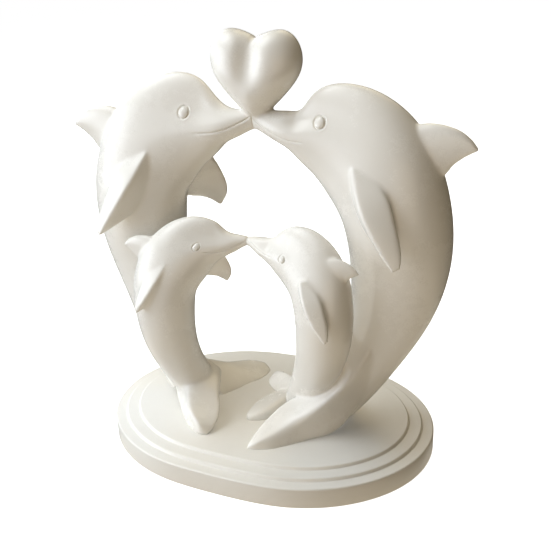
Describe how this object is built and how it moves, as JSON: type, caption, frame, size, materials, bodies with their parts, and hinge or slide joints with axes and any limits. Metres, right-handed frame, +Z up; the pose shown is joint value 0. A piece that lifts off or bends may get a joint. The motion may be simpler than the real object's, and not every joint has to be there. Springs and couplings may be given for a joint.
{
  "type": "dolphin figurine",
  "caption": "Ivory resin figurine: parent dolphins touching beaks under a puffy heart, with calves standing in front of them, on a stepped oval plinth.",
  "frame": {"origin": "middle of the plinth's flat underside", "axes": "+Z up, +X across the pair of parents, -Y towards the side that the calves stand on"},
  "size_m": [0.2424, 0.151, 0.241],
  "materials": {
    "family_resin": "ivory satin cast resin",
    "plinth_resin": "ivory satin cast resin"
  },
  "bodies": {
    "root": {"dolphin_family": "family_resin", "stepped_plinth": "plinth_resin"}
  },
  "joints": []
}
